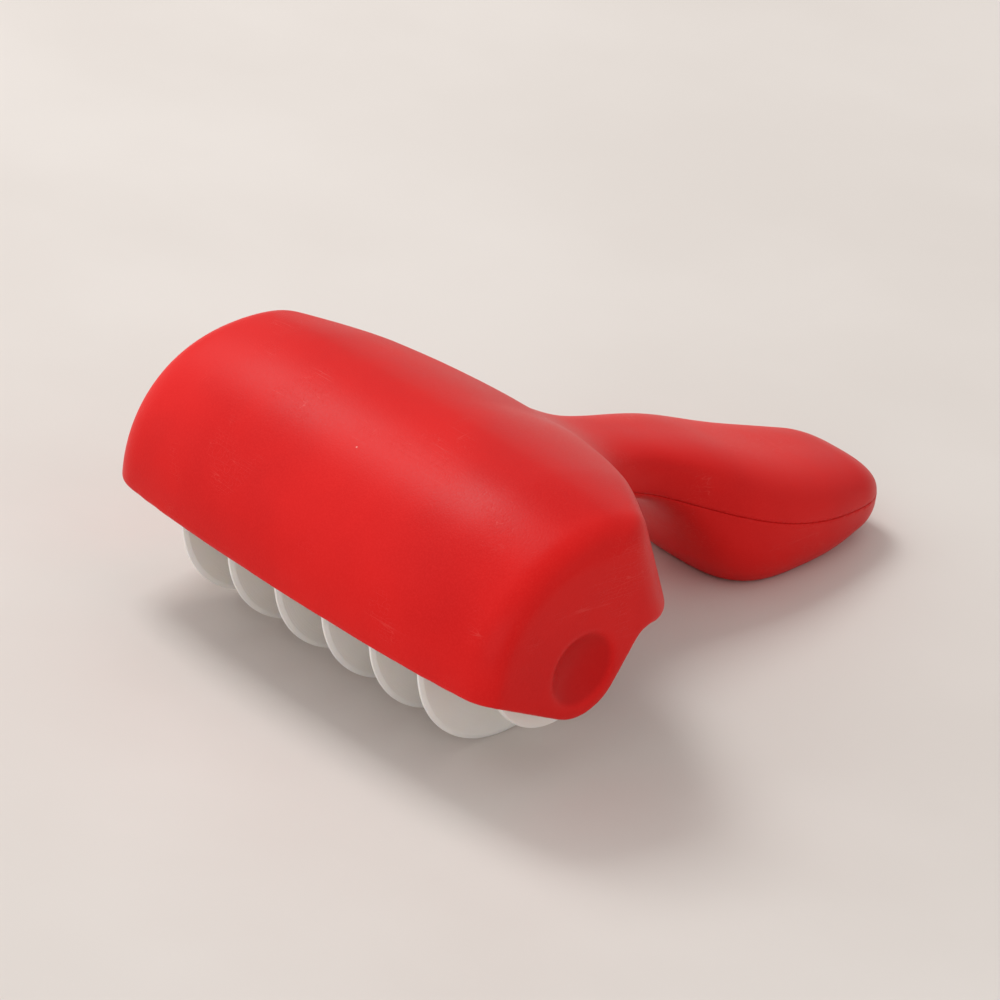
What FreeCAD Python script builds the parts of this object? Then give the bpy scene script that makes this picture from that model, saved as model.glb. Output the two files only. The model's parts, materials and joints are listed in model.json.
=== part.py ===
import FreeCAD, Part
import math
import os

# Hooded hand roller that cuts rolled dough into straight strips.
# Everything is built about the roller's axis: X runs along the axis, Y from the front lip to the
# handle's end, Z up. At export it is moved so that the origin is on the resting surface, under the
# middle of the whole object. Millimetres throughout.

# Roller
DISC_RADIUS = 27.5
STRIP_WIDTH = 16.0
DISC_COUNT = 6
DISC_HUB_RADIUS = 13.0
DISC_HUB_HALF = 1.6
DISC_WEB_HALF = 0.75
DISC_BEVEL = 1.1
DISC_EDGE_HALF = 0.3
TUBE_RADIUS = 9.0
TUBE_BORE = 7.8
SLEEVE_RADIUS = 11.5
SLEEVE_CHAMFER = 0.5
ROLLER_HALF = 59.7
CAP_BORE = 5.8
CAP_RING_RADIUS = 8.1
CAP_RING_WIDTH = 2.2
CAP_STEP_RADIUS = 11.5
CAP_STEP_WIDTH = 2.2
CAP_FLANGE_RADIUS = 18.0
CAP_FLANGE_WIDTH = 2.2
CAP_SPIGOT = 9.0
CAP_ROUNDING = 0.5

# Hood
HOOD_HALF = 63.6
WALL = 2.0
END_WALL = 3.0
END_ROUND_LENGTH = 7.0
END_ROUND_FRONT = 4.0
END_ROUND_ROOF = 6.0
END_ROUND_BACK = 6.0
END_ROUND_ANGLES = (90, 75, 58, 38, 18)
STRAIGHT_PARTS = (1.0, 0.86, 0.7, 0.35)
TAPER_START = 38.0
TAPER_FRONT = 0.9
TAPER_ROOF = 2.4
TAPER_BACK = 4.8
TAPER_SHOULDER = 1.0
TAPER_POWER = 1.5
FRONT_MID = 31.8
FRONT_BOW = 2.6
ROOF_MID = 35.6
ROOF_BOW = 1.2
CREST_Y = 8.0
CREST_DRAW = 9.0
FRONT_SQUARENESS = 2.15
FRONT_ANGLES = (0, 14, 28, 42, 56, 70, 80)
TUCK = 2.2
TUCK_MIDWAY = 0.5
TUCK_MIDWAY_Z = -6.0
THIRDS = (0.35, 0.7, 1.0)
SHOULDER_MID = 44.5
SHOULDER_END = 15.2
SHOULDER_SWEEP_POWER = 1.1
SHOULDER_SOFTNESS = 10.0
SHOULDER_Z_MID = 22.3
SHOULDER_Z_END = 33.6
SHOULDER_RISE_POWER = 0.75
SHOULDER_CORNER = 6.5
SLOPE_POWER = 1.5
BACK_LEAN = 0.44
HOOD_BASE = -16.0
CAVITY_BASE = -20.0
LIP_Z = -2.8
BACK_EDGE_Z = 5.5
LOBE_RADIUS = 12.6
LOBE_FRONT_TANGENT = 246.9
LOBE_BACK_TANGENT = -31.0
LIP_BEND = 6.0
BACK_BEND = 5.0

# Pivots moulded into the hood's end walls
RUNNING_CLEARANCE = 0.06
PIVOT_LENGTH = 6.5
PIVOT_ROOT = 1.0
PIVOT_CHAMFER = 0.8
PIVOT_PAD_RADIUS = 8.6
PIVOT_PAD_HEIGHT = 0.5
DISH_RADIUS = 9.5
DISH_DEPTH = 3.0

# Handle: distance behind the axis, half width, top, underside
HANDLE_STATIONS = [
    (36.0, 34.0, 25.5, 4.0),
    (42.0, 25.5, 23.4, 3.0),
    (49.0, 18.5, 20.2, 1.2),
    (57.0, 14.8, 16.9, 0.2),
    (67.0, 13.6, 14.2, -0.8),
    (78.0, 16.0, 11.4, -6.9),
    (90.0, 20.4, 8.0, -22.6),
    (101.0, 22.6, 4.0, -30.6),
    (116.0, 22.6, -1.6, -31.0),
    (130.0, 20.6, -5.8, -29.6),
    (139.0, 18.2, -8.2, -27.8),
]
HANDLE_END = 150.5
HANDLE_END_ROUND = 6.0
HANDLE_END_ANGLES = (28, 54, 76, 90)
HANDLE_END_SIDE_SLOPE = -0.3
HANDLE_END_TOP_SLOPE = -0.21
HANDLE_END_UNDERSIDE_SLOPE = 0.03
HANDLE_SQUARENESS = 2.9
SECTION_POINTS = 20
HANDLE_WALL = 2.4
HOLLOW_START = 61.0
PARTING_POINTS = [(61.0, 5.0), (84.0, -3.2), (112.0, -12.4), (152.0, -18.0)]
POST_PLACES = [80.0, 122.0]
POST_RADIUS = 2.5
POST_ENTRY = 7.0
BORE_RELIEF = 1.0
SOCKET_RADIUS = 4.6

# Where the origin is, measured from the roller's axis
FRONT_TO_BACK_MIDDLE = (HANDLE_END - FRONT_MID) / 2.0
FAR = 90.0


def point(x, y, z):
    return FreeCAD.Vector(x, y, z)


def spline(points, closed=False):
    curve = Part.BSplineCurve()
    curve.interpolate(Points=points, PeriodicFlag=closed)
    return curve.toShape()


def turned(profile):
    """Solid of revolution about the roller's axis from (x, radius) corners."""
    corners = [point(x, radius, 0) for x, radius in profile]
    corners.append(corners[0])
    face = Part.Face(Part.makePolygon(corners))
    return face.revolve(point(0, 0, 0), point(1, 0, 0), 360)


def rod(radius, start, end):
    """Round bar on the roller's axis between two stations."""
    low = min(start, end)
    return Part.makeCylinder(radius, abs(end - start), point(low, 0, 0), point(1, 0, 0))


def save(shape, name):
    moved = shape.copy()
    moved.translate(point(0, -FRONT_TO_BACK_MIDDLE, DISC_RADIUS))
    if moved.ShapeType == "Compound" and len(moved.Solids) == 1:
        moved = moved.Solids[0]
    moved.exportStep("parts/" + name + ".step")
    print(name, "valid", moved.isValid(), "solids", len(moved.Solids), "volume", round(moved.Volume))


# ---------------------------------------------------------------- hood

def soft_distance(x):
    """Distance from the middle of the hood, flattened where it crosses zero."""
    return math.hypot(x, SHOULDER_SOFTNESS) - SHOULDER_SOFTNESS


def hood_outline(x, inset, rounding, base):
    """Points of the hood's outline at station x, from the front base over the roof to the back.

    inset draws the whole outline inward; rounding, from 0 to 1, is how far the end has closed in.
    """
    spread = (x / HOOD_HALF) ** 2
    reach = soft_distance(x) / soft_distance(HOOD_HALF)
    taper = (max(0.0, abs(x) - TAPER_START) / (HOOD_HALF - TAPER_START)) ** TAPER_POWER
    front = FRONT_MID - FRONT_BOW * spread - TAPER_FRONT * taper - END_ROUND_FRONT * rounding - inset
    crest = ROOF_MID - ROOF_BOW * spread - TAPER_ROOF * taper - END_ROUND_ROOF * rounding - inset
    crest_y = CREST_Y - CREST_DRAW * rounding
    back_in = END_ROUND_BACK * rounding + inset
    sweep = (SHOULDER_END - SHOULDER_MID) * reach ** SHOULDER_SWEEP_POWER
    rise = (SHOULDER_Z_END - SHOULDER_Z_MID) * reach ** SHOULDER_RISE_POWER
    shoulder_y = SHOULDER_MID + sweep - TAPER_BACK * taper - back_in
    shoulder_z = SHOULDER_Z_MID + rise - TAPER_SHOULDER * taper - back_in
    outline = [(-front + TUCK, base), (-front + TUCK_MIDWAY, TUCK_MIDWAY_Z)]
    for degrees in FRONT_ANGLES:
        angle = math.radians(degrees)
        across = math.cos(angle) ** (2.0 / FRONT_SQUARENESS)
        up = math.sin(angle) ** (2.0 / FRONT_SQUARENESS)
        outline.append((crest_y - (front + crest_y) * across, crest * up))
    corner = SHOULDER_CORNER - inset / 2.0
    lean = math.atan(BACK_LEAN)
    run = shoulder_y - crest_y
    drop = crest - shoulder_z
    for part in (0.0,) + THIRDS:
        outline.append((crest_y + run * part, crest - drop * part ** SLOPE_POWER))
    tilt = math.atan(SLOPE_POWER * drop / run)
    centre_y = shoulder_y - corner * math.sin(tilt)
    centre_z = shoulder_z - corner * math.cos(tilt)
    for part in (0.5, 1.0):
        angle = (math.pi / 2 - tilt) * (1.0 - part) + lean * part
        outline.append((centre_y + corner * math.cos(angle), centre_z + corner * math.sin(angle)))
    wall_y, wall_z = outline[-1]
    for part in THIRDS:
        fall = (wall_z - base) * part
        outline.append((wall_y + BACK_LEAN * fall, wall_z - fall))
    return outline


def hood_wire(x, inset, rounding, base):
    points = [point(x, y, z) for y, z in hood_outline(x, inset, rounding, base)]
    roof = spline(points)
    floor = Part.makeLine(points[-1], points[0])
    return Part.Wire([roof, floor])


def hood_loft(half, inset, base):
    """Hood volume with softly rounded ends, drawn inward by inset."""
    straight = half - END_ROUND_LENGTH
    stations = []
    for degrees in END_ROUND_ANGLES:
        angle = math.radians(degrees)
        x = straight + END_ROUND_LENGTH * math.sin(angle)
        stations.append((x, 1.0 - math.cos(angle)))
    for part in STRAIGHT_PARTS:
        stations.append((straight * part, 0.0))
    mirrored = [(-x, rounding) for x, rounding in stations]
    across = stations + [(0.0, 0.0)] + mirrored[::-1]
    wires = [hood_wire(x, inset, rounding, base) for x, rounding in across]
    return Part.makeLoft(wires, True, False)


def tangent_line(degrees):
    """Unit normal of the line that touches the end wall's lobe at this angle."""
    angle = math.radians(degrees)
    return (math.cos(angle), math.sin(angle))


def crossing(normal_a, normal_b):
    """Where two lines tangent to the lobe cross."""
    det = normal_a[0] * normal_b[1] - normal_a[1] * normal_b[0]
    y = LOBE_RADIUS * (normal_b[1] - normal_a[1]) / det
    z = LOBE_RADIUS * (normal_a[0] - normal_b[0]) / det
    return (y, z)


def at_height(normal, z):
    return ((LOBE_RADIUS - normal[1] * z) / normal[0], z)


def rounded_wire(corners, x):
    """Closed outline in the plane at x; each corner is (y, z, radius)."""
    edges = []
    ends = []
    count = len(corners)
    for index in range(count):
        here = point(x, corners[index][0], corners[index][1])
        before = point(x, corners[index - 1][0], corners[index - 1][1])
        after = point(x, corners[(index + 1) % count][0], corners[(index + 1) % count][1])
        radius = corners[index][2]
        back = (before - here).normalize()
        onward = (after - here).normalize()
        half_angle = back.getAngle(onward) / 2.0
        length = radius / math.tan(half_angle)
        start = here + back * length
        end = here + onward * length
        bisector = (back + onward).normalize()
        centre = here + bisector * (radius / math.sin(half_angle))
        middle = centre - bisector * radius
        ends.append((start, middle, end, radius))
    for index in range(count):
        start, middle, end, radius = ends[index]
        if radius > 0:
            edges.append(Part.Arc(start, middle, end).toShape())
        edges.append(Part.makeLine(end, ends[(index + 1) % count][0]))
    return Part.Wire(edges)


def below_hood():
    """Everything under the hood's lower edge: lip, end lobes and back edge."""
    front_line = tangent_line(LOBE_FRONT_TANGENT)
    back_line = tangent_line(LOBE_BACK_TANGENT)
    lip = at_height(front_line, LIP_Z)
    lobe = crossing(front_line, back_line)
    back = at_height(back_line, BACK_EDGE_Z)
    corners = [
        (-FAR, -FAR, 0.0),
        (-FAR, LIP_Z, 0.0),
        (lip[0], lip[1], LIP_BEND),
        (lobe[0], lobe[1], LOBE_RADIUS),
        (back[0], back[1], BACK_BEND),
        (FAR, BACK_EDGE_Z, 0.0),
        (FAR, -FAR, 0.0),
    ]
    return Part.Face(rounded_wire(corners, -FAR)).extrude(point(2 * FAR, 0, 0))


def pivot(side):
    """Nub and pad on the inside of one end wall; side is +1 or -1."""
    inner = HOOD_HALF - END_WALL
    radius = CAP_BORE - RUNNING_CLEARANCE
    tip = inner - PIVOT_LENGTH
    profile = [
        (side * (inner + PIVOT_ROOT), 0.0),
        (side * (inner + PIVOT_ROOT), PIVOT_PAD_RADIUS),
        (side * (inner - PIVOT_PAD_HEIGHT), PIVOT_PAD_RADIUS),
        (side * (inner - PIVOT_PAD_HEIGHT), radius),
        (side * (tip + PIVOT_CHAMFER), radius),
        (side * tip, radius - PIVOT_CHAMFER),
        (side * tip, 0.0),
    ]
    return turned(profile)


def dish(side):
    """Shallow round hollow on the outside of one end wall."""
    ball = (DISH_RADIUS ** 2 + DISH_DEPTH ** 2) / (2.0 * DISH_DEPTH)
    centre = side * (HOOD_HALF - DISH_DEPTH + ball)
    return Part.makeSphere(ball, point(centre, 0, 0))


# ---------------------------------------------------------------- handle

def handle_wire(y, half_width, top, bottom, inset):
    """Rounded, slightly square section of the handle at station y."""
    wide = half_width - inset
    middle = (top + bottom) / 2.0
    tall = (top - bottom) / 2.0 - inset
    points = []
    power = 2.0 / HANDLE_SQUARENESS
    for step in range(SECTION_POINTS):
        angle = 2.0 * math.pi * step / SECTION_POINTS
        x = wide * math.copysign(abs(math.cos(angle)) ** power, math.cos(angle))
        z = tall * math.copysign(abs(math.sin(angle)) ** power, math.sin(angle))
        points.append(point(x, y, middle + z))
    return Part.Wire(spline(points, True))


def handle_loft(inset, end):
    """Handle volume from inside the hood to its rounded end, drawn inward by inset."""
    wires = []
    for y, half_width, top, bottom in HANDLE_STATIONS:
        wires.append(handle_wire(y, half_width, top, bottom, inset))
    last_y, half_width, top, bottom = HANDLE_STATIONS[-1]
    length = end - last_y
    for degrees in HANDLE_END_ANGLES:
        angle = math.radians(degrees)
        onward = length * math.sin(angle)
        depth = inset + HANDLE_END_ROUND * (1.0 - math.cos(angle)) * (1.0 - inset / HANDLE_END_ROUND)
        end_half = half_width + HANDLE_END_SIDE_SLOPE * onward
        end_top = top + HANDLE_END_TOP_SLOPE * onward
        end_bottom = bottom + HANDLE_END_UNDERSIDE_SLOPE * onward
        wires.append(handle_wire(last_y + onward, end_half, end_top, end_bottom, depth))
    return Part.makeLoft(wires, True, False)


def lower_half():
    """Everything below the handle's parting line, behind the neck."""
    line = [point(-FAR, y, z) for y, z in PARTING_POINTS]
    edge = spline(line)
    first = line[0]
    last = line[-1]
    deep_first = point(-FAR, first.y, -FAR)
    deep_last = point(-FAR, last.y, -FAR)
    wire = Part.Wire([
        edge,
        Part.makeLine(last, deep_last),
        Part.makeLine(deep_last, deep_first),
        Part.makeLine(deep_first, first),
    ])
    return Part.Face(wire).extrude(point(2 * FAR, 0, 0))


def deep_block(top):
    """Block that takes away everything under the height top."""
    return Part.makeBox(2 * FAR, 3 * FAR, FAR, point(-FAR, 0, top - FAR))


def build_holder():
    """The red holder: hood with handle top, and the handle's underside."""
    hood = hood_loft(HOOD_HALF, 0.0, HOOD_BASE).cut(below_hood())
    cavity = hood_loft(HOOD_HALF - END_WALL, WALL, CAVITY_BASE)
    handle = handle_loft(0.0, HANDLE_END).cut(deep_block(-DISC_RADIUS))
    neck = Part.makeBox(2 * FAR, HOLLOW_START, 2 * FAR, point(-FAR, 0, -FAR))
    hollow = handle_loft(HANDLE_WALL, HANDLE_END - HANDLE_WALL).cut(neck)
    hollow = hollow.cut(deep_block(HANDLE_WALL - DISC_RADIUS))
    body = hood.fuse(handle).cut(cavity)
    below = lower_half()
    upper = body.cut(below).cut(hollow)
    lower = body.common(below).cut(hollow)
    return upper, lower, hollow


def handle_posts(upper, lower, hollow):
    """Two snap posts under the handle top, each held in a socket of the underside."""
    for y in POST_PLACES:
        middle = parting_height(y)
        down = point(0, 0, -1)
        post = Part.makeCylinder(POST_RADIUS, FAR, point(0, y, middle - POST_ENTRY), point(0, 0, 1))
        upper = upper.fuse(post.common(hollow))
        socket = Part.makeCylinder(SOCKET_RADIUS, FAR, point(0, y, middle), down)
        bore = Part.makeCylinder(POST_RADIUS, POST_ENTRY + BORE_RELIEF, point(0, y, middle), down)
        lower = lower.fuse(socket.common(hollow)).cut(bore)
    return upper, lower


def parting_height(y):
    """Height of the parting line at station y."""
    curve = Part.BSplineCurve()
    curve.interpolate(Points=[point(0, b, z) for b, z in PARTING_POINTS])
    plane = Part.Plane(point(0, y, 0), point(0, 1, 0))
    return curve.intersect(plane)[0][0].Z


# ---------------------------------------------------------------- roller

def cutter_disc(x):
    """Thin cutting disc with a thicker middle, bored for the core tube."""
    profile = [
        (x - DISC_HUB_HALF, TUBE_RADIUS),
        (x - DISC_HUB_HALF, DISC_HUB_RADIUS),
        (x - DISC_WEB_HALF, DISC_RADIUS - DISC_BEVEL),
        (x - DISC_EDGE_HALF, DISC_RADIUS),
        (x + DISC_EDGE_HALF, DISC_RADIUS),
        (x + DISC_WEB_HALF, DISC_RADIUS - DISC_BEVEL),
        (x + DISC_HUB_HALF, DISC_HUB_RADIUS),
        (x + DISC_HUB_HALF, TUBE_RADIUS),
    ]
    return turned(profile)


def sleeve(start, end):
    """Spacer sleeve on the core tube, with chamfered rims."""
    profile = [
        (start, TUBE_RADIUS),
        (start, SLEEVE_RADIUS - SLEEVE_CHAMFER),
        (start + SLEEVE_CHAMFER, SLEEVE_RADIUS),
        (end - SLEEVE_CHAMFER, SLEEVE_RADIUS),
        (end, SLEEVE_RADIUS - SLEEVE_CHAMFER),
        (end, TUBE_RADIUS),
    ]
    return turned(profile)


def end_cap(side):
    """Stepped end cap: ring, step and flange outside, spigot in the core tube, bore for the pivot."""
    ring = ROLLER_HALF - CAP_RING_WIDTH
    step = ring - CAP_STEP_WIDTH
    flange = step - CAP_FLANGE_WIDTH
    profile = [
        (ROLLER_HALF, CAP_BORE),
        (ROLLER_HALF, CAP_RING_RADIUS - CAP_ROUNDING),
        (ROLLER_HALF - CAP_ROUNDING, CAP_RING_RADIUS),
        (ring, CAP_RING_RADIUS),
        (ring, CAP_STEP_RADIUS - CAP_ROUNDING),
        (ring - CAP_ROUNDING, CAP_STEP_RADIUS),
        (step, CAP_STEP_RADIUS),
        (step, CAP_FLANGE_RADIUS - CAP_ROUNDING),
        (step - CAP_ROUNDING, CAP_FLANGE_RADIUS),
        (flange, CAP_FLANGE_RADIUS),
        (flange, TUBE_BORE),
        (flange - CAP_SPIGOT, TUBE_BORE),
        (flange - CAP_SPIGOT, CAP_BORE),
    ]
    return turned([(side * x, radius) for x, radius in profile])


def build_roller():
    """Name and solid of every piece of the roller."""
    pieces = {}
    flange = ROLLER_HALF - CAP_RING_WIDTH - CAP_STEP_WIDTH - CAP_FLANGE_WIDTH
    pieces["core_tube"] = rod(TUBE_RADIUS, -flange, flange).cut(rod(TUBE_BORE, -flange, flange))
    first = -STRIP_WIDTH * (DISC_COUNT - 1) / 2.0
    for number in range(DISC_COUNT):
        x = first + STRIP_WIDTH * number
        pieces["cutter_disc_" + str(number + 1)] = cutter_disc(x)
        if number > 0:
            pieces["spacer_sleeve_" + str(number)] = sleeve(x - STRIP_WIDTH + DISC_HUB_HALF,
                                                            x - DISC_HUB_HALF)
    pieces["end_sleeve_left"] = sleeve(-flange, first - DISC_HUB_HALF)
    pieces["end_sleeve_right"] = sleeve(-first + DISC_HUB_HALF, flange)
    pieces["end_cap_left"] = end_cap(-1)
    pieces["end_cap_right"] = end_cap(1)
    return pieces


# ---------------------------------------------------------------- all pieces

os.makedirs("parts", exist_ok=True)
handle_top, handle_under, handle_hollow = build_holder()
handle_top, handle_under = handle_posts(handle_top, handle_under, handle_hollow)
for side in (-1, 1):
    handle_top = handle_top.fuse(pivot(side)).cut(dish(side))
save(handle_top, "hood_and_handle_top")
save(handle_under, "handle_underside")
for piece_name, piece in build_roller().items():
    save(piece, piece_name)
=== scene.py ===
import json
import math

import bmesh
import bpy
import numpy as np
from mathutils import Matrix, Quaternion, Vector


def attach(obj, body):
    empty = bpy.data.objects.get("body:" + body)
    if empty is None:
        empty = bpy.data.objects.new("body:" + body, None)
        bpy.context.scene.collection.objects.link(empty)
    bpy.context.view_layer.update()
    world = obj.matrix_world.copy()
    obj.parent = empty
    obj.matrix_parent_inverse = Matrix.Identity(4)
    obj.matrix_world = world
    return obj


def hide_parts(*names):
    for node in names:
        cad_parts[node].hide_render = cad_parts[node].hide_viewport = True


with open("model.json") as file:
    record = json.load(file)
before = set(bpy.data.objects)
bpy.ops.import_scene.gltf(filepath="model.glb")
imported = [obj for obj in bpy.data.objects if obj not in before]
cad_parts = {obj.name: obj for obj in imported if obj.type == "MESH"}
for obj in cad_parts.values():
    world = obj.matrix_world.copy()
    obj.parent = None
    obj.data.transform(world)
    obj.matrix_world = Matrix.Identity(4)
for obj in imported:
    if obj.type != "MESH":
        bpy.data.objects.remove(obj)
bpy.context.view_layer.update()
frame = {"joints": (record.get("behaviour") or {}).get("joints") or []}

# A red hooded hand roller with a white roller of six cutting discs. Shapes are worked out in
# millimetres about the roller's axis (X along the axis, Y towards the handle's end, Z up) and then
# put where the frame's roller_spin joint is.
MM = 0.001
AXIS = Vector(frame["joints"][0]["pos_m"])

# ---------------------------------------------------------------- dimensions, as in the design
HOOD_HALF = 63.6
WALL = 2.0
END_WALL = 3.0
END_ROUND_LENGTH = 7.0
END_ROUND_FRONT = 4.0
END_ROUND_ROOF = 6.0
END_ROUND_BACK = 6.0
TUCK = 2.2
TAPER_START = 38.0
TAPER_FRONT = 0.9
TAPER_ROOF = 2.4
TAPER_BACK = 4.8
TAPER_SHOULDER = 1.0
TAPER_POWER = 1.5
FRONT_MID = 31.8
FRONT_BOW = 2.6
ROOF_MID = 35.6
ROOF_BOW = 1.2
CREST_Y = 8.0
CREST_DRAW = 9.0
FRONT_SQUARENESS = 2.15
SHOULDER_MID = 44.5
SHOULDER_END = 15.2
SHOULDER_SWEEP_POWER = 1.1
SHOULDER_SOFTNESS = 10.0
SHOULDER_Z_MID = 22.3
SHOULDER_Z_END = 33.6
SHOULDER_RISE_POWER = 0.75
SHOULDER_CORNER = 6.5
SLOPE_POWER = 1.5
BACK_LEAN = 0.44
HOOD_BASE = -16.0
CAVITY_BASE = -22.0
LIP_Z = -2.8
BACK_EDGE_Z = 5.5
LOBE_RADIUS = 12.6
LOBE_FRONT_TANGENT = 246.9
LOBE_BACK_TANGENT = -31.0
LIP_BEND = 6.0
BACK_BEND = 5.0
PIVOT_RADIUS = 5.65
PIVOT_LENGTH = 6.4
PIVOT_ROOT = 1.2
PIVOT_CHAMFER = 0.8
PIVOT_PAD_RADIUS = 8.6
PIVOT_PAD_HEIGHT = 0.5
DISH_RADIUS = 9.5
DISH_DEPTH = 3.0
# Distance behind the axis, half width, top, underside
HANDLE_STATIONS = [
    (36.0, 34.0, 25.5, 4.0),
    (42.0, 25.5, 23.4, 3.0),
    (49.0, 18.5, 20.2, 1.2),
    (57.0, 14.8, 16.9, 0.2),
    (67.0, 13.6, 14.2, -0.8),
    (78.0, 16.0, 11.4, -6.9),
    (90.0, 20.4, 8.0, -22.6),
    (101.0, 22.6, 4.0, -30.6),
    (116.0, 22.6, -1.6, -31.0),
    (130.0, 20.6, -5.8, -29.6),
    (139.0, 18.2, -8.2, -27.8),
]
HANDLE_END = 150.5
HANDLE_END_ROUND = 6.0
HANDLE_END_SIDE_SLOPE = -0.3
HANDLE_END_TOP_SLOPE = -0.21
HANDLE_END_UNDERSIDE_SLOPE = 0.03
HANDLE_SQUARENESS = 2.9
HANDLE_WALL = 2.4
HOLLOW_START = 61.0
# Distance behind the axis and height of the line between the handle's two halves
PARTING_POINTS = [(61.0, 5.0), (84.0, -3.2), (112.0, -12.4), (152.0, -18.0)]
DISC_RADIUS = 27.5
STRIP_WIDTH = 16.0
DISC_COUNT = 6
TUBE_RADIUS = 9.0
SLEEVE_RADIUS = 11.5
ROLLER_HALF = 59.7
DISC_HUB_RADIUS = 13.0
DISC_HUB_HALF = 1.6
DISC_WEB_HALF = 0.75
DISC_BEVEL = 1.1
DISC_EDGE_HALF = 0.3
HUB_ROUNDING = 1.2
WEB_ROUNDING = 0.6
EDGE_ROUNDING = 0.22
TUBE_BORE = 7.8
CAP_BORE = 5.8
CAP_RING_RADIUS = 8.1
CAP_STEP_RADIUS = 11.5
CAP_FLANGE_RADIUS = 18.0
CAP_SPIGOT = 9.0
CAP_LAYER = 2.2
CAP_ROUNDING = 0.5
CAP_CORNER = 0.3
SPIGOT_ROUNDING = 0.4
TUBE_ROUNDING = 0.2
SLEEVE_RIM = 1.6
SLEEVE_ROUNDING = 0.45
SLEEVE_END_DRAW = 0.05
SLEEVE_RIM_DRAW = 0.02
SLEEVE_WAIST_DRAW = 0.14
# Reach of the blocks that cut and split the solids
FAR = 90.0

# ---------------------------------------------------------------- fineness of the visible meshes
COARSE_VOXEL = 0.7
FINE_VOXEL = 0.52
RIM_SMOOTHING = 14
NECK_SMOOTHING = 90
BODY_SMOOTHING = 2
LEAST_WEIGHT = 0.004
ROLLER_SEGMENTS = 224
PLUG_SEGMENTS = 96
HANDLE_SEGMENTS = 96
HANDLE_STEPS = 90
STRAIGHT_STEPS = 41
END_STEPS = 19
FRONT_WALL_STEPS = 9
ARCH_STEPS = 41
ROOF_STEPS = 21
CORNER_STEPS = 11
BACK_WALL_STEPS = 17
ARC_STEPS = 14
DISH_STEPS = 30
DISH_DEGREES = (2, 60)
PARTING_STEPS = 60
GROOVE_STEPS = 180
LOBE_STEPS = 40
EDGE_STEPS = 6
CREASE_DEGREES = 28
HOLDER_TRIANGLES = 228000
PARTING_GAP = 0.07
GROOVE_REACH = 0.2
GROOVE_DEPTH = 0.17
OUTER_SHARE = 0.93
END_RIM = 1.2
# Where the neck is eased into the hood: fades out across x, in and out along y
NECK_FADE_X = (16, 34)
NECK_FADE_IN_Y = (30, 42)
NECK_FADE_OUT_Y = (54, 66)


# ---------------------------------------------------------------- mesh helpers
def make_object(name, points, faces):
    """Mesh object from points in millimetres about the roller's axis."""
    mesh = bpy.data.meshes.new(name)
    places = np.asarray(points, float) * MM + np.array(AXIS)
    mesh.from_pydata(places.tolist(), [], faces)
    mesh.validate()
    mesh.update()
    obj = bpy.data.objects.new(name, mesh)
    bpy.context.scene.collection.objects.link(obj)
    return obj


def loft(name, rings):
    """Closed solid through rings of equal length, capped at both ends."""
    rings = np.asarray(rings, float)
    rows, count = rings.shape[:2]
    faces = []
    for row in range(rows - 1):
        for place in range(count):
            after = (place + 1) % count
            a = row * count + place
            b = row * count + after
            faces.append((a, b, b + count, a + count))
    faces.append(tuple(reversed(range(count))))
    faces.append(tuple(range((rows - 1) * count, rows * count)))
    obj = make_object(name, rings.reshape(-1, 3), faces)
    face_outward(obj)
    return obj


def face_outward(obj):
    work = bmesh.new()
    work.from_mesh(obj.data)
    bmesh.ops.recalc_face_normals(work, faces=work.faces)
    if work.calc_volume(signed=True) < 0:
        bmesh.ops.reverse_faces(work, faces=work.faces)
    work.to_mesh(obj.data)
    work.free()


def apply_modifiers(obj):
    graph = bpy.context.evaluated_depsgraph_get()
    mesh = bpy.data.meshes.new_from_object(obj.evaluated_get(graph))
    obj.modifiers.clear()
    obj.data = mesh


def combine(target, tool, operation):
    """Boolean of two closed solids; the tool is used up."""
    step = target.modifiers.new("bool", "BOOLEAN")
    step.object = tool
    step.operation = operation
    step.solver = "MANIFOLD"
    apply_modifiers(target)
    bpy.data.objects.remove(tool)


def remesh(obj, voxel):
    step = obj.modifiers.new("remesh", "REMESH")
    step.mode = "VOXEL"
    step.voxel_size = voxel * MM
    apply_modifiers(obj)


def smooth(obj, rounds, weights=None):
    step = obj.modifiers.new("smooth", "SMOOTH")
    step.factor = 0.5
    step.iterations = rounds
    if weights is not None:
        group = obj.vertex_groups.new(name="ease")
        for index in np.flatnonzero(weights > LEAST_WEIGHT):
            group.add([int(index)], float(weights[index]), "REPLACE")
        step.vertex_group = "ease"
    apply_modifiers(obj)
    obj.vertex_groups.clear()


def thin_out(obj, most):
    """Fewer triangles where the surface is plain."""
    count = sum(len(face.vertices) - 2 for face in obj.data.polygons)
    if count > most:
        step = obj.modifiers.new("decimate", "DECIMATE")
        step.ratio = most / count
        apply_modifiers(obj)


def shade_smooth(obj):
    obj.data.shade_smooth()


def corners(obj):
    """Vertex places in millimetres about the roller's axis."""
    flat = np.zeros(len(obj.data.vertices) * 3)
    obj.data.vertices.foreach_get("co", flat)
    return (flat.reshape(-1, 3) - np.array(AXIS)) / MM


# ---------------------------------------------------------------- hood
def soft_distance(x):
    """Distance from the middle, flat close to it, so that the hood's sweep has no crease there."""
    return math.hypot(x, SHOULDER_SOFTNESS) - SHOULDER_SOFTNESS


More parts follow.
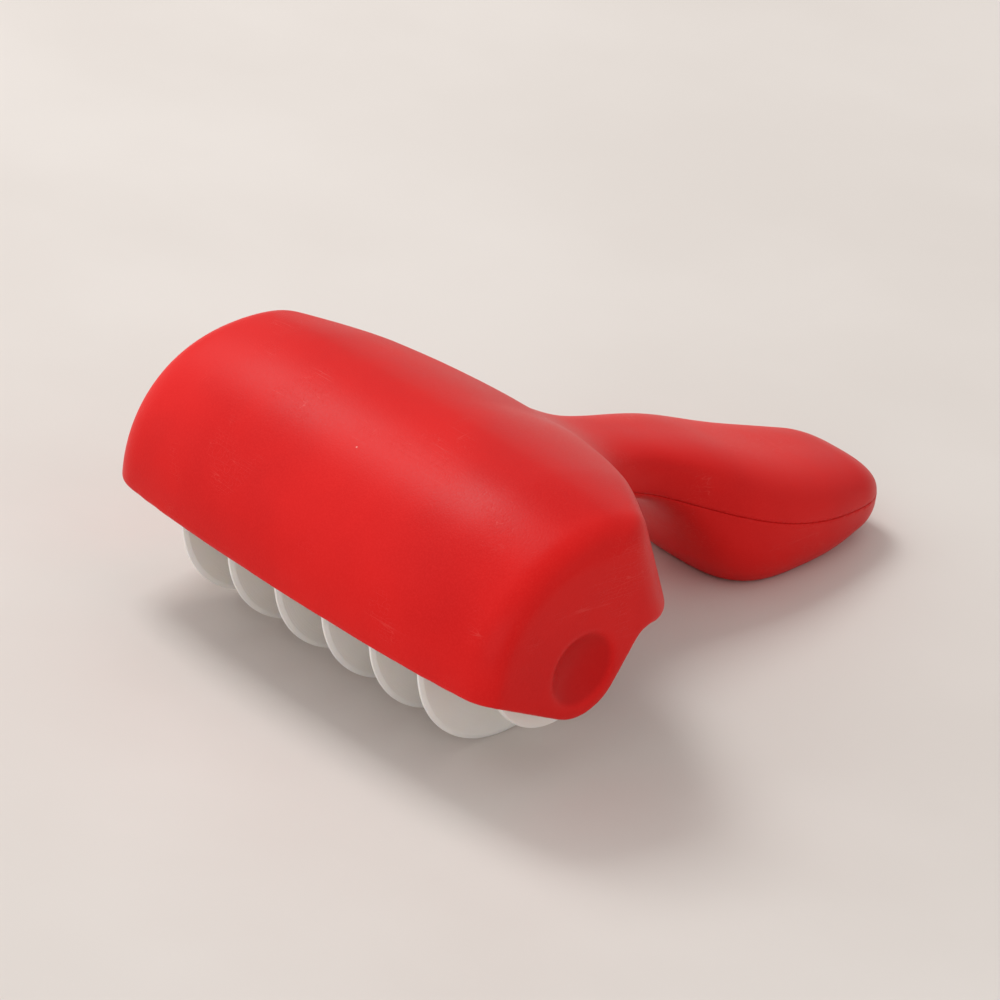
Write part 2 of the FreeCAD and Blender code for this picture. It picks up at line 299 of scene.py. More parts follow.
def hood_outline(x, inset, rounding, base):
    """Hood's outline at station x, from the front base over the roof to the back base."""
    spread = (x / HOOD_HALF) ** 2
    reach = soft_distance(x) / soft_distance(HOOD_HALF)
    taper = (max(0.0, abs(x) - TAPER_START) / (HOOD_HALF - TAPER_START)) ** TAPER_POWER
    front = FRONT_MID - FRONT_BOW * spread - TAPER_FRONT * taper - END_ROUND_FRONT * rounding - inset
    crest = ROOF_MID - ROOF_BOW * spread - TAPER_ROOF * taper - END_ROUND_ROOF * rounding - inset
    crest_y = CREST_Y - CREST_DRAW * rounding
    back_in = END_ROUND_BACK * rounding + inset
    sweep = (SHOULDER_END - SHOULDER_MID) * reach ** SHOULDER_SWEEP_POWER
    rise = (SHOULDER_Z_END - SHOULDER_Z_MID) * reach ** SHOULDER_RISE_POWER
    shoulder_y = SHOULDER_MID + sweep - TAPER_BACK * taper - back_in
    shoulder_z = SHOULDER_Z_MID + rise - TAPER_SHOULDER * taper - back_in
    outline = []
    for part in np.linspace(0, 1, FRONT_WALL_STEPS)[:-1]:
        down = base * (1 - part)
        outline.append((-front + TUCK * (down / base) ** 2, down))
    for angle in np.radians(np.linspace(0, 90, ARCH_STEPS)[:-1]):
        across = math.cos(angle) ** (2 / FRONT_SQUARENESS)
        up = math.sin(angle) ** (2 / FRONT_SQUARENESS)
        outline.append((crest_y - (front + crest_y) * across, crest * up))
    run = shoulder_y - crest_y
    drop = crest - shoulder_z
    for part in np.linspace(0, 1, ROOF_STEPS)[:-1]:
        outline.append((crest_y + run * part, crest - drop * part ** SLOPE_POWER))
    tilt = math.atan(SLOPE_POWER * drop / run)
    corner = SHOULDER_CORNER - inset * 0.5
    lean = math.atan(BACK_LEAN)
    centre_y = shoulder_y - corner * math.sin(tilt)
    centre_z = shoulder_z - corner * math.cos(tilt)
    for part in np.linspace(0, 1, CORNER_STEPS):
        angle = (math.pi / 2 - tilt) * (1 - part) + lean * part
        outline.append((centre_y + corner * math.cos(angle), centre_z + corner * math.sin(angle)))
    wall_y, wall_z = outline[-1]
    for part in np.linspace(0, 1, BACK_WALL_STEPS)[1:]:
        fall = (wall_z - base) * part
        outline.append((wall_y + BACK_LEAN * fall, wall_z - fall))
    return outline


def hood_solid(name, half, inset, base):
    """Closed solid of the hood's outline, rounded towards both ends."""
    straight = half - END_ROUND_LENGTH
    stations = [(x, 0.0) for x in np.linspace(0, straight, STRAIGHT_STEPS)]
    for angle in np.radians(np.linspace(0, 90, END_STEPS)[1:]):
        stations.append((straight + END_ROUND_LENGTH * math.sin(angle), 1 - math.cos(angle)))
    across = [(-x, rounding) for x, rounding in stations[:0:-1]] + stations
    rings = []
    for x, rounding in across:
        rings.append([(x, y, z) for y, z in hood_outline(x, inset, rounding, base)])
    return loft(name, rings)


def arc_corner(before, here, after, radius, steps=ARC_STEPS):
    """Points of the rounding at one corner of an outline."""
    here = Vector(here)
    back = (Vector(before) - here).normalized()
    onward = (Vector(after) - here).normalized()
    half = back.angle(onward) / 2
    bisector = (back + onward).normalized()
    centre = here + bisector * (radius / math.sin(half))
    start = here + back * (radius / math.tan(half)) - centre
    end = here + onward * (radius / math.tan(half)) - centre
    turn = start.angle_signed(end)
    points = []
    for part in np.linspace(0, 1, steps):
        angle = -turn * part
        cos, sin = math.cos(angle), math.sin(angle)
        points.append((centre.x + start.x * cos - start.y * sin,
                       centre.y + start.x * sin + start.y * cos))
    return points


def below_hood():
    """Everything under the hood's lower edge, as one bar along X."""
    normals = []
    for degrees in (LOBE_FRONT_TANGENT, LOBE_BACK_TANGENT):
        normals.append((math.cos(math.radians(degrees)), math.sin(math.radians(degrees))))
    (ay, az), (by, bz) = normals
    det = ay * bz - az * by
    lobe = (LOBE_RADIUS * (bz - az) / det, LOBE_RADIUS * (ay - by) / det)
    lip = ((LOBE_RADIUS - az * LIP_Z) / ay, LIP_Z)
    back = ((LOBE_RADIUS - bz * BACK_EDGE_Z) / by, BACK_EDGE_Z)
    left = (-FAR, LIP_Z)
    right = (FAR, BACK_EDGE_Z)
    outline = [(-FAR, -FAR), left]
    outline += arc_corner(left, lip, lobe, LIP_BEND)
    outline += arc_corner(lip, lobe, back, LOBE_RADIUS, LOBE_STEPS)
    outline += arc_corner(lobe, back, right, BACK_BEND)
    outline += [right, (FAR, -FAR)]
    return loft("below", [[(x, y, z) for y, z in outline] for x in (-FAR, FAR)])


def turned(name, profile):
    """Solid of revolution about the roller's axis from a closed list of (x, radius)."""
    rings = []
    for angle in np.linspace(0, 2 * math.pi, ROLLER_SEGMENTS, endpoint=False):
        rings.append([(x, radius * math.cos(angle), radius * math.sin(angle))
                      for x, radius in profile])
    rings = np.asarray(rings)
    rows, count = rings.shape[:2]
    faces = []
    for row in range(rows):
        following = (row + 1) % rows
        for place in range(count):
            after = (place + 1) % count
            faces.append((row * count + place, row * count + after,
                          following * count + after, following * count + place))
    return make_object(name, rings.reshape(-1, 3), faces)


def plug(name, profile):
    """Solid of revolution whose profile starts and ends on the axis."""
    body = profile[1:-1]
    rings = []
    for x, radius in body:
        ring = []
        for angle in np.linspace(0, 2 * math.pi, PLUG_SEGMENTS, endpoint=False):
            ring.append((x, radius * math.cos(angle), radius * math.sin(angle)))
        rings.append(ring)
    return loft(name, rings)


def pivot(side):
    """Round pivot with a low pad, on the inside of one end wall."""
    inner = HOOD_HALF - END_WALL
    tip = inner - PIVOT_LENGTH
    profile = [
        (inner + PIVOT_ROOT, 0),
        (inner + PIVOT_ROOT, PIVOT_PAD_RADIUS),
        (inner - PIVOT_PAD_HEIGHT, PIVOT_PAD_RADIUS),
        (inner - PIVOT_PAD_HEIGHT, PIVOT_RADIUS),
        (tip + PIVOT_CHAMFER, PIVOT_RADIUS),
        (tip, PIVOT_RADIUS - PIVOT_CHAMFER),
        (tip, 0),
    ]
    return plug("pivot", [(side * x, radius) for x, radius in profile])


def dish(side):
    """Ball-shaped cutter for the dish on the outside of one end wall."""
    ball = (DISH_RADIUS ** 2 + DISH_DEPTH ** 2) / (2 * DISH_DEPTH)
    centre = HOOD_HALF - DISH_DEPTH + ball
    profile = [(centre - ball, 0)]
    for angle in np.radians(np.linspace(*DISH_DEGREES, DISH_STEPS)):
        profile.append((centre - ball * math.cos(angle), ball * math.sin(angle)))
    profile.append((centre, 0))
    return plug("dish", [(side * x, radius) for x, radius in profile])


# ---------------------------------------------------------------- handle
def through(knots, values, places):
    """Natural cubic curve through the knots."""
    knots = np.asarray(knots, float)
    values = np.asarray(values, float)
    gap = np.diff(knots)
    slope = np.diff(values) / gap
    size = len(knots)
    matrix = np.eye(size)
    right = np.zeros(size)
    for i in range(1, size - 1):
        matrix[i, i - 1] = gap[i - 1]
        matrix[i, i] = 2 * (gap[i - 1] + gap[i])
        matrix[i, i + 1] = gap[i]
        right[i] = 6 * (slope[i] - slope[i - 1])
    bend = np.linalg.solve(matrix, right)
    out = []
    for place in places:
        i = int(np.clip(np.searchsorted(knots, place) - 1, 0, size - 2))
        t = place - knots[i]
        rate = slope[i] - gap[i] * (2 * bend[i] + bend[i + 1]) / 6
        out.append(values[i] + t * rate + t * t * bend[i] / 2
                   + t ** 3 * (bend[i + 1] - bend[i]) / (6 * gap[i]))
    return np.array(out)


def handle_ring(y, half_width, top, bottom, inset):
    wide = half_width - inset
    middle = (top + bottom) / 2
    tall = (top - bottom) / 2 - inset
    power = 2 / HANDLE_SQUARENESS
    ring = []
    for angle in np.linspace(0, 2 * math.pi, HANDLE_SEGMENTS, endpoint=False):
        c, s = math.cos(angle), math.sin(angle)
        ring.append((wide * math.copysign(abs(c) ** power, c), y,
                     middle + tall * math.copysign(abs(s) ** power, s)))
    return ring


def handle_solid(name, inset, end):
    knots, widths, tops, bottoms = (np.array(column) for column in zip(*HANDLE_STATIONS))
    last = knots[-1]
    length = end - last
    stations = []
    for y in np.linspace(knots[0], last, HANDLE_STEPS)[:-1]:
        stations.append((y, *(float(through(knots, column, [y])[0]) for column in (widths, tops, bottoms)),
                         inset))
    for angle in np.radians(np.linspace(0, 90, END_STEPS)):
        onward = length * math.sin(angle)
        depth = inset + (HANDLE_END_ROUND - inset) * (1 - math.cos(angle))
        stations.append((last + onward, widths[-1] + HANDLE_END_SIDE_SLOPE * onward,
                         tops[-1] + HANDLE_END_TOP_SLOPE * onward,
                         bottoms[-1] + HANDLE_END_UNDERSIDE_SLOPE * onward, depth))
    return loft(name, [handle_ring(*station) for station in stations])


def block(name, low, high):
    x0, y0, z0 = low
    x1, y1, z1 = high
    return loft(name, [[(x, y0, z0), (x, y1, z0), (x, y1, z1), (x, y0, z1)] for x in (x0, x1)])


def lower_half(shift):
    """Everything below the handle's parting line, raised by shift, behind the neck."""
    ys = np.linspace(PARTING_POINTS[0][0] - shift, PARTING_POINTS[-1][0], PARTING_STEPS)
    heights = through(*zip(*PARTING_POINTS), ys) + shift
    outline = [(y, z) for y, z in zip(ys, heights)]
    outline += [(ys[-1], -FAR), (ys[0], -FAR)]
    return loft("lower", [[(x, y, z) for y, z in outline] for x in (-FAR, FAR)])


def handle_size(y):
    """Half width, top and underside of the handle at station y."""
    knots, widths, tops, bottoms = (np.array(column) for column in zip(*HANDLE_STATIONS))
    last = knots[-1]
    if y <= last:
        return tuple(float(through(knots, column, [y])[0]) for column in (widths, tops, bottoms))
    onward = min(y - last, HANDLE_END - last)
    angle = math.asin(onward / (HANDLE_END - last))
    depth = HANDLE_END_ROUND * (1 - math.cos(angle))
    top = tops[-1] + HANDLE_END_TOP_SLOPE * onward - depth
    bottom = bottoms[-1] + HANDLE_END_UNDERSIDE_SLOPE * onward + depth
    return widths[-1] + HANDLE_END_SIDE_SLOPE * onward - depth, top, bottom


def soften_parting(obj):
    """Draw the outer rim of the parting line in a little, so the two halves meet in a fine groove."""
    places = corners(obj)
    x, y, z = places.T
    ys = np.linspace(PARTING_POINTS[0][0], HANDLE_END, GROOVE_STEPS)
    heights = through(*zip(*PARTING_POINTS), ys)
    wide, top, bottom = (np.interp(y, ys, column) for column in np.array([handle_size(s) for s in ys]).T)
    middle, tall = (top + bottom) / 2, (top - bottom) / 2
    size = np.abs(x / wide) ** HANDLE_SQUARENESS + np.abs((z - middle) / tall) ** HANDLE_SQUARENESS
    at_end = y > HANDLE_END - END_RIM
    near = (y > ys[0] - END_RIM) & (np.abs(z - np.interp(y, ys, heights)) < GROOVE_REACH)
    rim = near & ((size > OUTER_SHARE ** HANDLE_SQUARENESS) | at_end)
    places[rim & ~at_end, 0] -= GROOVE_DEPTH * np.sign(x[rim & ~at_end])
    places[rim & at_end, 1] -= GROOVE_DEPTH
    flat = (places * MM + np.array(AXIS)).ravel()
    obj.data.vertices.foreach_set("co", flat)
    obj.data.update()


def copy_of(obj, name):
    twin = bpy.data.objects.new(name, obj.data.copy())
    bpy.context.scene.collection.objects.link(twin)
    return twin


def ease(value, low, high):
    """0 below low, 1 above high, smooth between."""
    t = np.clip((value - low) / (high - low), 0, 1)
    return t * t * (3 - 2 * t)


def build_holder():
    """Hood with handle as one moulding, split along the parting line."""
    hood = hood_solid("hood", HOOD_HALF, 0, HOOD_BASE)
    combine(hood, below_hood(), "DIFFERENCE")
    handle = handle_solid("handle", 0, HANDLE_END)
    combine(handle, block("floor_cut", (-FAR, -FAR, -FAR), (FAR, 2 * FAR, -DISC_RADIUS)), "DIFFERENCE")
    combine(hood, handle, "UNION")
    remesh(hood, COARSE_VOXEL)
    places = corners(hood)
    x, y = np.abs(places[:, 0]), places[:, 1]
    near = (1 - ease(x, *NECK_FADE_X)) * ease(y, *NECK_FADE_IN_Y) * (1 - ease(y, *NECK_FADE_OUT_Y))
    smooth(hood, NECK_SMOOTHING, near)
    smooth(hood, BODY_SMOOTHING)
    combine(hood, hood_solid("cavity", HOOD_HALF - END_WALL, WALL, CAVITY_BASE), "DIFFERENCE")
    for side in (-1, 1):
        combine(hood, pivot(side), "UNION")
        combine(hood, dish(side), "DIFFERENCE")
    # The handle's hollow is sealed, so the fine remesh fills it again: only the triangles' layout
    # keeps a trace of it, and the visible handle is solid inside.
    hollow = handle_solid("hollow", HANDLE_WALL, HANDLE_END - HANDLE_WALL)
    combine(hollow, block("neck_cut", (-FAR, -FAR, -FAR), (FAR, HOLLOW_START, FAR)), "DIFFERENCE")
    combine(hollow, block("pad_cut", (-FAR, -FAR, -FAR), (FAR, 2 * FAR, HANDLE_WALL - DISC_RADIUS)),
            "DIFFERENCE")
    combine(hood, hollow, "DIFFERENCE")
    remesh(hood, FINE_VOXEL)
    smooth(hood, RIM_SMOOTHING)
    thin_out(hood, HOLDER_TRIANGLES)
    underside = copy_of(hood, "grip_underside")
    combine(underside, lower_half(-PARTING_GAP), "INTERSECT")
    combine(hood, lower_half(PARTING_GAP), "DIFFERENCE")
    hood.name = "holder_shell"
    for piece in (hood, underside):
        soften_parting(piece)
        shade_smooth(piece)
        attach(piece, "holder")
    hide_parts("hood_and_handle_top")
    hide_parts("handle_underside")
    return hood, underside


# ---------------------------------------------------------------- roller
def rounded_profile(shape):
    """Closed outline from corners (x, radius, rounding)."""
    outline = []
    count = len(shape)
    for index, (x, radius, rounding) in enumerate(shape):
        if rounding > 0:
            before = shape[index - 1][:2]
            after = shape[(index + 1) % count][:2]
            outline += arc_corner(before, (x, radius), after, rounding, EDGE_STEPS)
        else:
            outline.append((x, radius))
    return outline


def roller_piece(name, node, shape):
    piece = turned(name, rounded_profile(shape))
    face_outward(piece)
    keep_creases(piece)
    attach(piece, "roller")
    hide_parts(node)
    return piece


def keep_creases(obj):
    """Smooth shading that stays crisp across sharp turns of the outline."""
    obj.data.shade_smooth()
    obj.data.set_sharp_from_angle(angle=math.radians(CREASE_DEGREES))


def disc_shape(x):
    """Cutting disc: thick hub, long taper to a thin web, bevelled and slightly blunted edge."""
    right = [
        (x + DISC_HUB_HALF, TUBE_RADIUS, 0),
        (x + DISC_HUB_HALF, DISC_HUB_RADIUS, HUB_ROUNDING),
        (x + DISC_WEB_HALF, DISC_RADIUS - DISC_BEVEL, WEB_ROUNDING),
        (x + DISC_EDGE_HALF, DISC_RADIUS, EDGE_ROUNDING),
    ]
    left = [(2 * x - place, radius, rounding) for place, radius, rounding in reversed(right)]
    return right + left


def sleeve_shape(start, end):
    """Spacer sleeve with rounded rims and a shallow waist."""
    middle = (start + end) / 2
    return [
        (start, TUBE_RADIUS, 0),
        (start, SLEEVE_RADIUS - SLEEVE_END_DRAW, SLEEVE_ROUNDING),
        (start + SLEEVE_RIM, SLEEVE_RADIUS - SLEEVE_RIM_DRAW, 0),
        (middle, SLEEVE_RADIUS - SLEEVE_WAIST_DRAW, 0),
        (end - SLEEVE_RIM, SLEEVE_RADIUS - SLEEVE_RIM_DRAW, 0),
        (end, SLEEVE_RADIUS - SLEEVE_END_DRAW, SLEEVE_ROUNDING),
        (end, TUBE_RADIUS, 0),
    ]


def cap_shape(side):
    """Stepped end cap with a spigot inside the tube."""
    ring = ROLLER_HALF - CAP_LAYER
    step = ring - CAP_LAYER
    flange = step - CAP_LAYER
    shape = [
        (ROLLER_HALF, CAP_BORE, CAP_CORNER),
        (ROLLER_HALF, CAP_RING_RADIUS, CAP_ROUNDING),
        (ring, CAP_RING_RADIUS, CAP_CORNER),
        (ring, CAP_STEP_RADIUS, CAP_ROUNDING),
        (step, CAP_STEP_RADIUS, CAP_CORNER),
        (step, CAP_FLANGE_RADIUS, CAP_ROUNDING),
        (flange, CAP_FLANGE_RADIUS, CAP_CORNER),
        (flange, TUBE_BORE, 0),
        (flange - CAP_SPIGOT, TUBE_BORE, SPIGOT_ROUNDING),
        (flange - CAP_SPIGOT, CAP_BORE, CAP_CORNER),
    ]
    return [(side * x, radius, rounding) for x, radius, rounding in shape]


def build_roller():
    """Tube, six discs with sleeves between them, and two end caps."""
    flange = ROLLER_HALF - 3 * CAP_LAYER
    first = -STRIP_WIDTH * (DISC_COUNT - 1) / 2
    pieces = []
    tube = [
        (-flange, TUBE_BORE, TUBE_ROUNDING),
        (-flange, TUBE_RADIUS, TUBE_ROUNDING),
        (flange, TUBE_RADIUS, TUBE_ROUNDING),
        (flange, TUBE_BORE, TUBE_ROUNDING),
    ]
    pieces.append(roller_piece("tube", "core_tube", tube))
    for number in range(DISC_COUNT):
        x = first + STRIP_WIDTH * number
        name = str(number + 1)
        pieces.append(roller_piece("disc_" + name, "cutter_disc_" + name, disc_shape(x)))
        if number > 0:
            shape = sleeve_shape(x - STRIP_WIDTH + DISC_HUB_HALF, x - DISC_HUB_HALF)
            pieces.append(roller_piece("sleeve_" + str(number), "spacer_sleeve_" + str(number), shape))
    outer = first - DISC_HUB_HALF
    pieces.append(roller_piece("sleeve_left", "end_sleeve_left", sleeve_shape(-flange, outer)))
    pieces.append(roller_piece("sleeve_right", "end_sleeve_right", sleeve_shape(-outer, flange)))
    pieces.append(roller_piece("cap_left", "end_cap_left", cap_shape(-1)))
    pieces.append(roller_piece("cap_right", "end_cap_right", cap_shape(1)))
    return pieces


# ---------------------------------------------------------------- materials
RED_DEEP = (0.60, 0.0075, 0.0075, 1)
RED_BRIGHT = (0.70, 0.0105, 0.0095, 1)
RED_GRAIN = (0.80, 0.030, 0.026, 1)
RED_WORN = (0.80, 0.045, 0.04, 1)
RED_CORNER_SHADE = (0.30, 0.004, 0.004, 1)
RED_DISH_SHADE = (0.36, 0.004, 0.004, 1)
RED_SCRATCH = (0.86, 0.16, 0.14, 1)
RED_DUST = (0.90, 0.55, 0.50, 1)
IVORY_DEEP = (0.850, 0.815, 0.775, 1)
IVORY_PALE = (0.895, 0.870, 0.835, 1)
IVORY_RIM_LIGHT = (0.92, 0.91, 0.89, 1)
IVORY_CORNER_SHADE = (0.48, 0.43, 0.37, 1)
IVORY_FLECK = (0.42, 0.36, 0.30, 1)
WORKTOP_DEEP = (0.700, 0.650, 0.612, 1)
WORKTOP_PALE = (0.735, 0.688, 0.652, 1)
# Where the dish gets painted shade and the discs' rims painted light (paler, for light through the thin
# edge), in metres from the roller's axis
DISH_SHADE_RADIUS = (0.0078, 0.0094)
DISH_SHADE_ALONG = (0.0570, 0.0590)
RIM_LIGHT_RADIUS = (0.0255, 0.0272)
# Sockets of the Mix node that carry colours
MIX_COLOUR_A = 6
MIX_COLOUR_B = 7
MIX_COLOUR = 2


class Look:
    """Small helper that adds nodes to one material."""

    def __init__(self, name):
        self.material = bpy.data.materials.new(name)
        self.material.use_nodes = True
        self.tree = self.material.node_tree
        self.shader = self.tree.nodes["Principled BSDF"]
        self.place = self.node("ShaderNodeTexCoord").outputs["Object"]

    def node(self, kind, **settings):
        made = self.tree.nodes.new(kind)
        for key, value in settings.items():
            setattr(made, key, value)
        return made

    def link(self, source, socket):
        self.tree.links.new(source, socket)

    def feed(self, value, socket):
        if isinstance(value, bpy.types.NodeSocket):
            self.link(value, socket)
        else:
            socket.default_value = value

    def noise(self, scale, detail=2.0, rough=0.5, place=None):
        """Even noise, about 0.5 in the middle; scale is in waves per metre."""
        made = self.node("ShaderNodeTexNoise")
        made.inputs["Scale"].default_value = scale
        made.inputs["Detail"].default_value = detail
        made.inputs["Roughness"].default_value = rough
        self.link(self.place if place is None else place, made.inputs["Vector"])
        return made.outputs["Fac"]

    def ramp(self, value, low, high, start=0.0, end=1.0):
        made = self.node("ShaderNodeMapRange", interpolation_type="SMOOTHSTEP")
        self.feed(value, made.inputs["Value"])
        for key, number in (("From Min", low), ("From Max", high), ("To Min", start), ("To Max", end)):
            made.inputs[key].default_value = number
        return made.outputs["Result"]

    def math(self, operation, a, b=0.0):
        made = self.node("ShaderNodeMath", operation=operation)
        self.feed(a, made.inputs[0])
        self.feed(b, made.inputs[1])
        return made.outputs[0]

    def mix(self, share, a, b, blend="MIX"):
        made = self.node("ShaderNodeMix", data_type="RGBA", blend_type=blend)
        self.feed(share, made.inputs["Factor"])
        self.feed(a, made.inputs[MIX_COLOUR_A])
        self.feed(b, made.inputs[MIX_COLOUR_B])
        return made.outputs[MIX_COLOUR]

    def stretched(self, scale, turn=(0.0, 0.0, 0.0)):
        made = self.node("ShaderNodeMapping")
        made.inputs["Scale"].default_value = scale
        made.inputs["Rotation"].default_value = turn
        self.link(self.place, made.inputs["Vector"])
        return made.outputs["Vector"]

    def bump(self, height, distance, strength=1.0, under=None):
        made = self.node("ShaderNodeBump")
        made.inputs["Distance"].default_value = distance
        made.inputs["Strength"].default_value = strength
        self.link(height, made.inputs["Height"])
        if under is not None:
            self.link(under, made.inputs["Normal"])
        return made.outputs["Normal"]

    def specks(self, scale, size, share):
        """1 inside a few small round specks, 0 elsewhere."""
        made = self.node("ShaderNodeTexVoronoi")
        made.inputs["Scale"].default_value = scale
        self.link(self.place, made.inputs["Vector"])
        dot = self.ramp(made.outputs["Distance"], size * 0.6, size, 1.0, 0.0)
        split = self.node("ShaderNodeSeparateColor")
        self.link(made.outputs["Color"], split.inputs["Color"])
        chosen = self.math("LESS_THAN", split.outputs["Red"], share)
        return self.math("MULTIPLY", dot, chosen)

    def scratches(self, scale, turn, width):
        """1 on thin broken lines that run along one direction, 0 elsewhere."""
        place = self.stretched(scale, turn)
        lines = self.noise(1.0, 0.0, 0.5, place)
        ridge = self.math("ABSOLUTE", self.math("SUBTRACT", lines, 0.5))
        thin = self.ramp(ridge, 0.0, width, 1.0, 0.0)
        broken = self.ramp(self.noise(scale=55.0, detail=2.0), 0.56, 0.66)
        return self.math("MULTIPLY", thin, broken)

    def around_axis(self):
        """Distance along the roller's axis from its middle, and distance from the axis."""
        local = self.node("ShaderNodeVectorMath", operation="SUBTRACT")
        self.link(self.place, local.inputs[0])
        local.inputs[1].default_value = AXIS
        split = self.node("ShaderNodeSeparateXYZ")
        self.link(local.outputs["Vector"], split.inputs["Vector"])
        y, z = split.outputs["Y"], split.outputs["Z"]
        squares = self.math("ADD", self.math("MULTIPLY", y, y), self.math("MULTIPLY", z, z))
        return self.math("ABSOLUTE", split.outputs["X"]), self.math("SQRT", squares)

    def edges(self):
        """Above 0.5 on outer edges, below 0.5 in inner corners."""
        return self.node("ShaderNodeNewGeometry").outputs["Pointiness"]


def red_plastic():
    """Moulded red plastic with a fine satin grain, lightly used, with painted shade in its inner corners
    and end dishes.
    """
    look = Look("red_plastic_look")
    cloud = look.noise(scale=26.0, detail=3.0)
    grain = look.noise(scale=2400.0, detail=1.0)
    waves = look.noise(scale=95.0, detail=1.0)
    base = look.mix(look.ramp(cloud, 0.3, 0.7), RED_DEEP, RED_BRIGHT)
    base = look.mix(look.ramp(grain, 0.35, 0.75, 0.0, 0.16), base, RED_GRAIN)
    edge = look.edges()
    base = look.mix(look.ramp(edge, 0.52, 0.62, 0.0, 0.20), base, RED_WORN)
    # Painted shade: inner corners are darkened.
    base = look.mix(look.ramp(edge, 0.40, 0.48, 0.55, 0.0), base, RED_CORNER_SHADE)
    along, radius = look.around_axis()
    # Painted shade: the end dishes around the axis are darkened.
    painted_dish_shade = look.math("MULTIPLY", look.ramp(radius, *DISH_SHADE_RADIUS, 1.0, 0.0),
                        look.ramp(along, *DISH_SHADE_ALONG))
    base = look.mix(look.math("MULTIPLY", painted_dish_shade, 0.42), base, RED_DISH_SHADE)
    lines = look.scratches(scale=(16.0, 900.0, 900.0), turn=(0.3, 0.2, 0.5), width=0.012)
    crossed = look.scratches(scale=(700.0, 20.0, 800.0), turn=(0.1, 0.5, 0.9), width=0.010)
    marks = look.math("MAXIMUM", lines, crossed)
    base = look.mix(look.math("MULTIPLY", marks, 0.14), base, RED_SCRATCH)
    dust = look.specks(scale=105.0, size=0.040, share=0.15)
    base = look.mix(look.math("MULTIPLY", dust, 0.65), base, RED_DUST)
    look.link(base, look.shader.inputs["Base Color"])
    rough = look.ramp(cloud, 0.25, 0.75, 0.35, 0.43)
    rough = look.math("ADD", rough, look.ramp(grain, 0.3, 0.7, -0.03, 0.03))
    rough = look.math("ADD", rough, look.math("MULTIPLY", marks, -0.07))
    rough = look.math("ADD", rough, look.math("MULTIPLY", dust, 0.25))
    rough = look.math("ADD", rough, look.ramp(edge, 0.52, 0.6, 0.0, -0.05))
    look.link(rough, look.shader.inputs["Roughness"])
    look.shader.inputs["Specular IOR Level"].default_value = 0.10
    normal = look.bump(waves, 0.00006, 0.5)
    normal = look.bump(grain, 0.00005, 0.7, normal)
    normal = look.bump(look.math("SUBTRACT", dust, marks), 0.00003, 0.6, normal)
    look.link(normal, look.shader.inputs["Normal"])
    return look.material


def white_plastic():
    """Ivory, slightly see-through moulded plastic; painted paler towards the cutting rim for light through
    the thin edge, and painted shade in its inner corners.
    """
    look = Look("white_plastic_look")
    cloud = look.noise(scale=38.0, detail=3.0)
    grain = look.noise(scale=1900.0, detail=2.0)
    _, radius = look.around_axis()
    base = look.mix(look.ramp(cloud, 0.3, 0.7), IVORY_DEEP, IVORY_PALE)
    # Painted light: the discs' rims are made paler, standing in for light through the thin edge.
    rim = look.ramp(radius, *RIM_LIGHT_RADIUS)
    base = look.mix(look.math("MULTIPLY", rim, 0.6), base, IVORY_RIM_LIGHT)
    edge = look.edges()
    # Painted shade: inner corners are darkened.
    base = look.mix(look.ramp(edge, 0.40, 0.49, 0.45, 0.0), base, IVORY_CORNER_SHADE)
    flecks = look.specks(scale=160.0, size=0.04, share=0.07)
    base = look.mix(look.math("MULTIPLY", flecks, 0.5), base, IVORY_FLECK)
    look.link(base, look.shader.inputs["Base Color"])
    turned_marks = look.node("ShaderNodeTexNoise", noise_dimensions="1D")
    look.link(look.math("MULTIPLY", radius, 2600.0), turned_marks.inputs["W"])
    turned_marks.inputs["Scale"].default_value = 1.0
    rings = turned_marks.outputs["Fac"]
    rough = look.ramp(cloud, 0.25, 0.75, 0.36, 0.47)
    rough = look.math("ADD", rough, look.ramp(rings, 0.3, 0.7, -0.04, 0.04))
    rough = look.math("ADD", rough, look.math("MULTIPLY", flecks, 0.2))
    look.link(rough, look.shader.inputs["Roughness"])
    look.shader.inputs["Specular IOR Level"].default_value = 0.5
    look.shader.inputs["Subsurface Weight"].default_value = 0.22
    look.shader.inputs["Subsurface Radius"].default_value = (1.0, 0.75, 0.5)
    look.shader.inputs["Subsurface Scale"].default_value = 0.003
    normal = look.bump(rings, 0.00006, 0.5)
    normal = look.bump(grain, 0.00003, 0.5, normal)
    look.link(normal, look.shader.inputs["Normal"])
    return look.material


def floor_surface():
    """Plain pale worktop with a very faint mottle."""
    look = Look("floor_look")
    cloud = look.noise(scale=7.0, detail=4.0)
    fine = look.noise(scale=420.0, detail=2.0)
    base = look.mix(look.ramp(cloud, 0.35, 0.7), WORKTOP_DEEP, WORKTOP_PALE)
    look.link(base, look.shader.inputs["Base Color"])
    look.link(look.ramp(cloud, 0.3, 0.7, 0.52, 0.64), look.shader.inputs["Roughness"])
    look.link(look.bump(fine, 0.00006, 0.4), look.shader.inputs["Normal"])
    return look.material


# ---------------------------------------------------------------- make everything
red = red_plastic()
for piece in build_holder():
    piece.data.materials.clear()
    piece.data.materials.append(red)
white = white_plastic()
for piece in build_roller():
    piece.data.materials.clear()
    piece.data.materials.append(white)

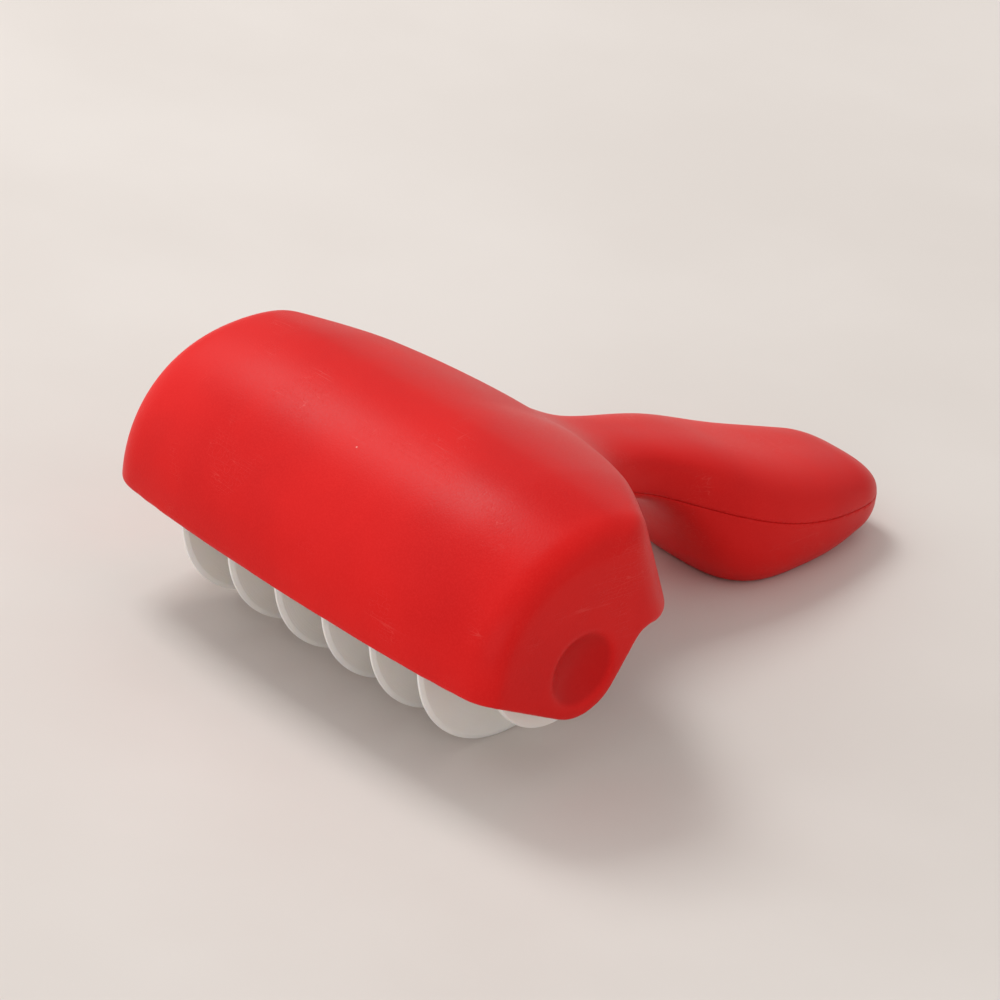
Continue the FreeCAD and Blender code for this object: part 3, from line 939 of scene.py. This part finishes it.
# ---------------------------------------------------------------- floor, lights, camera
FLOOR_REACH = 4.0
FLOOR_GAP = 0.0001
floor_mesh = bpy.data.meshes.new("floor")
floor_mesh.from_pydata([(-FLOOR_REACH, -FLOOR_REACH, 0), (FLOOR_REACH, -FLOOR_REACH, 0),
                        (FLOOR_REACH, FLOOR_REACH, 0), (-FLOOR_REACH, FLOOR_REACH, 0)], [], [(0, 1, 2, 3)])
floor = bpy.data.objects.new("floor", floor_mesh)
bpy.context.scene.collection.objects.link(floor)
floor.location.z = -FLOOR_GAP
floor_mesh.materials.append(floor_surface())


def lamp(name, direction, distance, size, power, target):
    data = bpy.data.lights.new(name, "AREA")
    data.size = size
    data.energy = power
    obj = bpy.data.objects.new(name, data)
    obj.location = target + Vector(direction).normalized() * distance
    obj.rotation_mode = "QUATERNION"
    obj.rotation_quaternion = (target - obj.location).to_track_quat("-Z", "Y")
    bpy.context.scene.collection.objects.link(obj)


middle = Vector((0, -0.02, 0.025))
lamp("key", (-0.60, 0.04, 0.80), 1.6, 0.6, 10.5, middle)
lamp("left", (-0.80, -0.42, 0.42), 1.8, 2.4, 13.5, middle)
lamp("front", (0.30, -0.92, 0.16), 1.6, 1.2, 6.0, middle)
lamp("back_right", (0.80, 0.30, 0.50), 1.8, 1.2, 2.0, middle)
bpy.context.scene.view_settings.view_transform = "Standard"
world = bpy.data.worlds.new("studio")
bpy.context.scene.world = world
world.use_nodes = True
world.node_tree.nodes["Background"].inputs["Color"].default_value = (1.0, 0.97, 0.94, 1)
world.node_tree.nodes["Background"].inputs["Strength"].default_value = 0.57

CAMERA_AZIMUTH = 43.9
CAMERA_ELEVATION = 26.9
CAMERA_ROLL = 7.5
CAMERA_DISTANCE = 1.5
CAMERA_LENS = 235.0
camera_data = bpy.data.cameras.new("camera")
camera_data.lens = CAMERA_LENS
camera = bpy.data.objects.new("camera", camera_data)
bpy.context.scene.collection.objects.link(camera)
azimuth, elevation = math.radians(CAMERA_AZIMUTH), math.radians(CAMERA_ELEVATION)
away = Vector((math.sin(azimuth) * math.cos(elevation), -math.cos(azimuth) * math.cos(elevation),
               math.sin(elevation)))
aim = Vector((-0.008, -0.018, 0.026))
camera.location = aim + away * CAMERA_DISTANCE
camera.rotation_mode = "QUATERNION"
camera.rotation_quaternion = (-away).to_track_quat("-Z", "Y")
camera.rotation_quaternion = camera.rotation_quaternion @ Quaternion((0, 0, 1), math.radians(CAMERA_ROLL))
camera_data.clip_start = 0.01
bpy.context.scene.camera = camera
